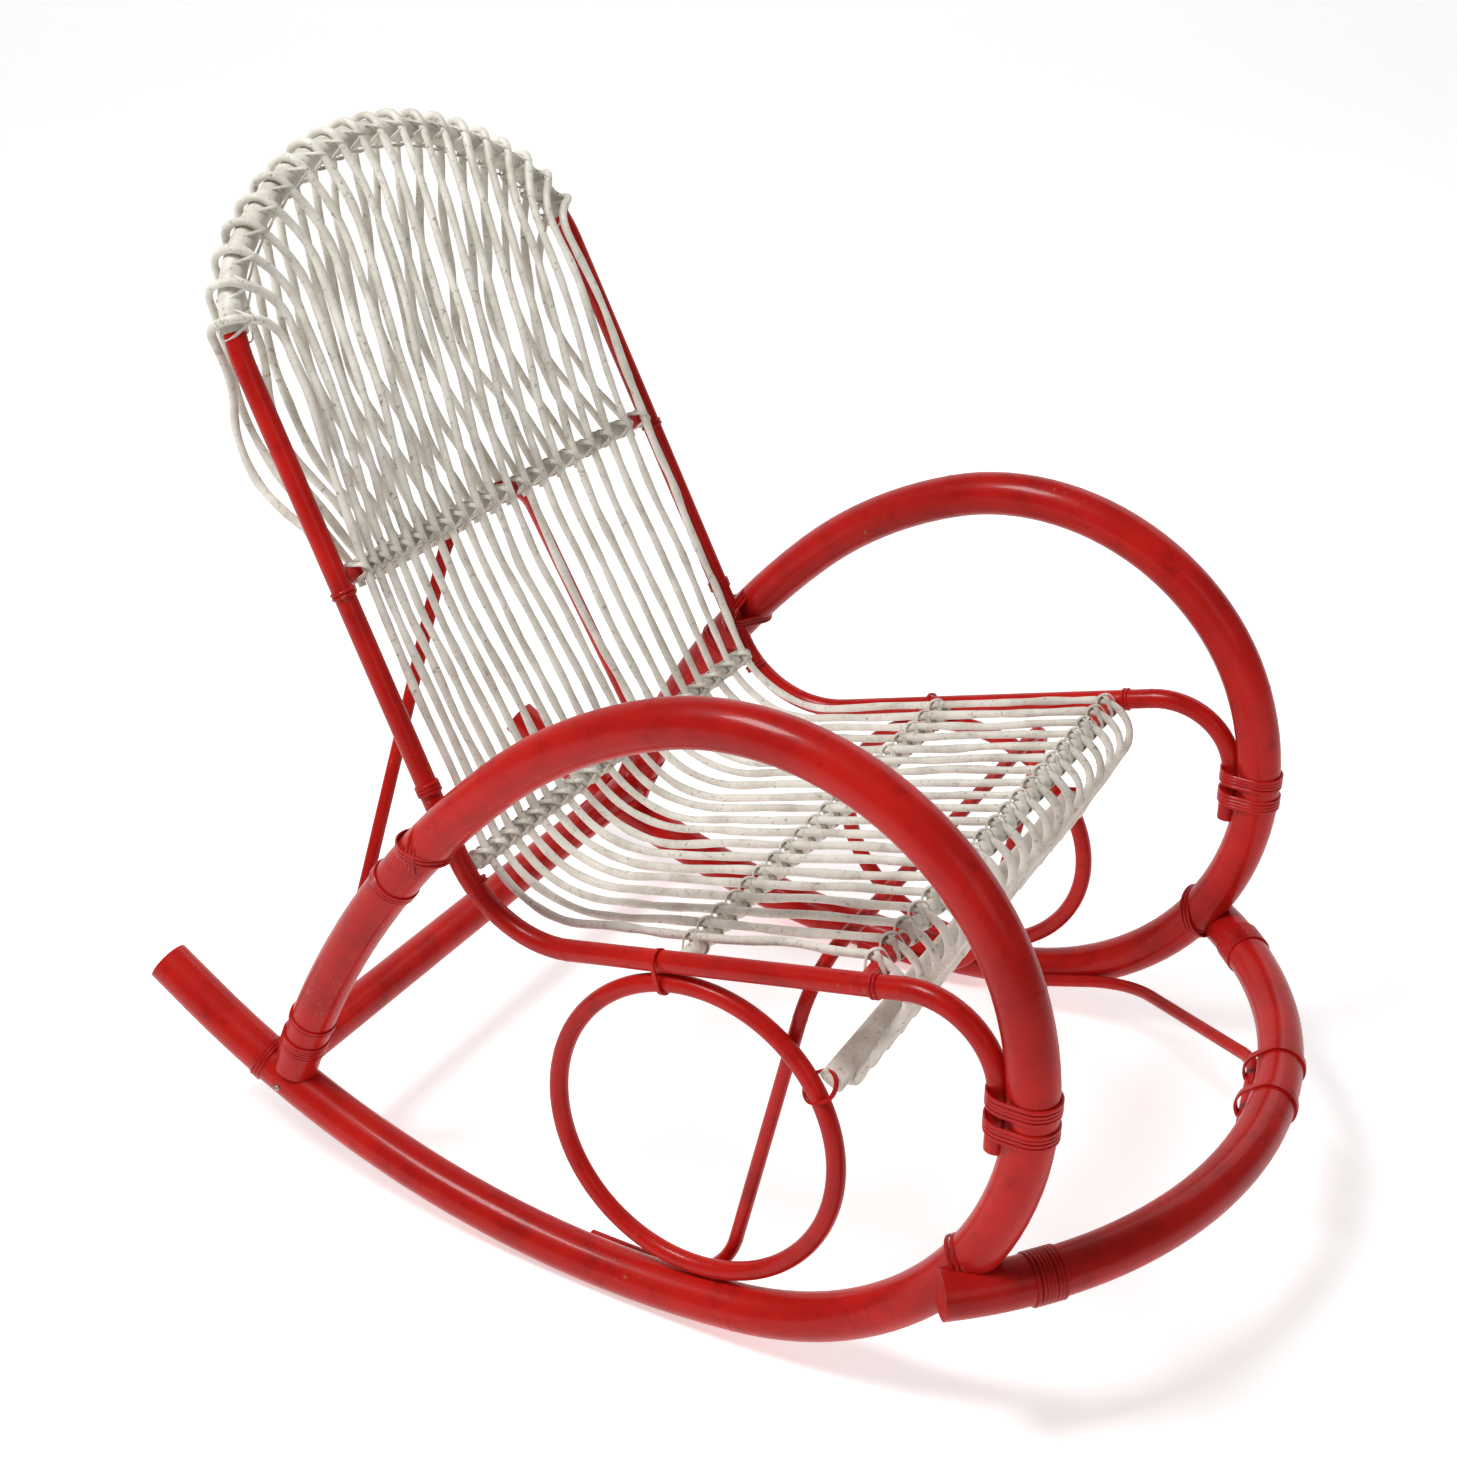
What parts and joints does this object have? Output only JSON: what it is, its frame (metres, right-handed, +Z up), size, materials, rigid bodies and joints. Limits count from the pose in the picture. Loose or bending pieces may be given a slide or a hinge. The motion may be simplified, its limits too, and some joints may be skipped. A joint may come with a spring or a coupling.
{
  "type": "rocking chair",
  "caption": "Rattan rocking chair with bent side loops that form runners and arms, a side ring on each side and a strand-woven seat and back",
  "frame": {"origin": "centre of the bounding box in x and y, on the floor plane under the runners", "axes": "+X the way the sitter faces, +Y the sitter's left, +Z up"},
  "size_m": [0.9811, 0.6666, 0.8942],
  "materials": {
    "red_rattan": "gloss",
    "red_cane": "gloss",
    "white_rattan": "satin",
    "white_cane": "satin",
    "nail_steel": "satin"
  },
  "bodies": {
    "root": {"side_loop_right": "red_rattan", "side_loop_left": "red_rattan", "front_bow": "red_rattan", "rear_stretcher": "red_rattan", "seat_frame": "red_rattan", "back_hoop": "red_rattan", "seat_arch": "red_rattan", "bow_strut": "red_rattan", "side_ring_right": "red_rattan", "side_ring_left": "red_rattan", "back_bar": "white_rattan", "lumbar_bar": "white_rattan", "mid_seat_bar": "white_rattan", "front_seat_bar": "white_rattan", "apron_slat": "white_rattan", "strand_1": "white_rattan", "strand_2": "white_rattan", "strand_3": "white_rattan", "strand_4": "white_rattan", "strand_5": "white_rattan", "strand_6": "white_rattan", "strand_7": "white_rattan", "strand_8": "white_rattan", "strand_9": "white_rattan", "strand_10": "white_rattan", "strand_11": "white_rattan", "strand_12": "white_rattan", "strand_13": "white_rattan", "strand_14": "white_rattan", "strand_15": "white_rattan", "strand_16": "white_rattan", "strand_17": "white_rattan", "strand_18": "white_rattan", "strand_19": "white_rattan", "strand_20": "white_rattan", "back_bar_lacing": "white_cane", "lumbar_bar_lacing": "white_cane", "mid_seat_bar_lacing": "white_cane", "front_seat_bar_lacing": "white_cane", "arch_wrap": "white_cane", "rear_lashing_right": "red_cane", "rear_lashing_left": "red_cane", "bow_lashing_right": "red_cane", "bow_lashing_left": "red_cane", "rail_lashing_right": "red_cane", "rail_lashing_left": "red_cane", "arm_lashing_right": "red_cane", "arm_lashing_left": "red_cane", "ring_tie_right": "red_cane", "ring_tie_left": "red_cane", "bar_tie_right": "red_cane", "bar_tie_left": "red_cane", "strut_tie": "red_cane", "hoop_tie": "red_cane", "nails": "nail_steel"}
  },
  "joints": []
}
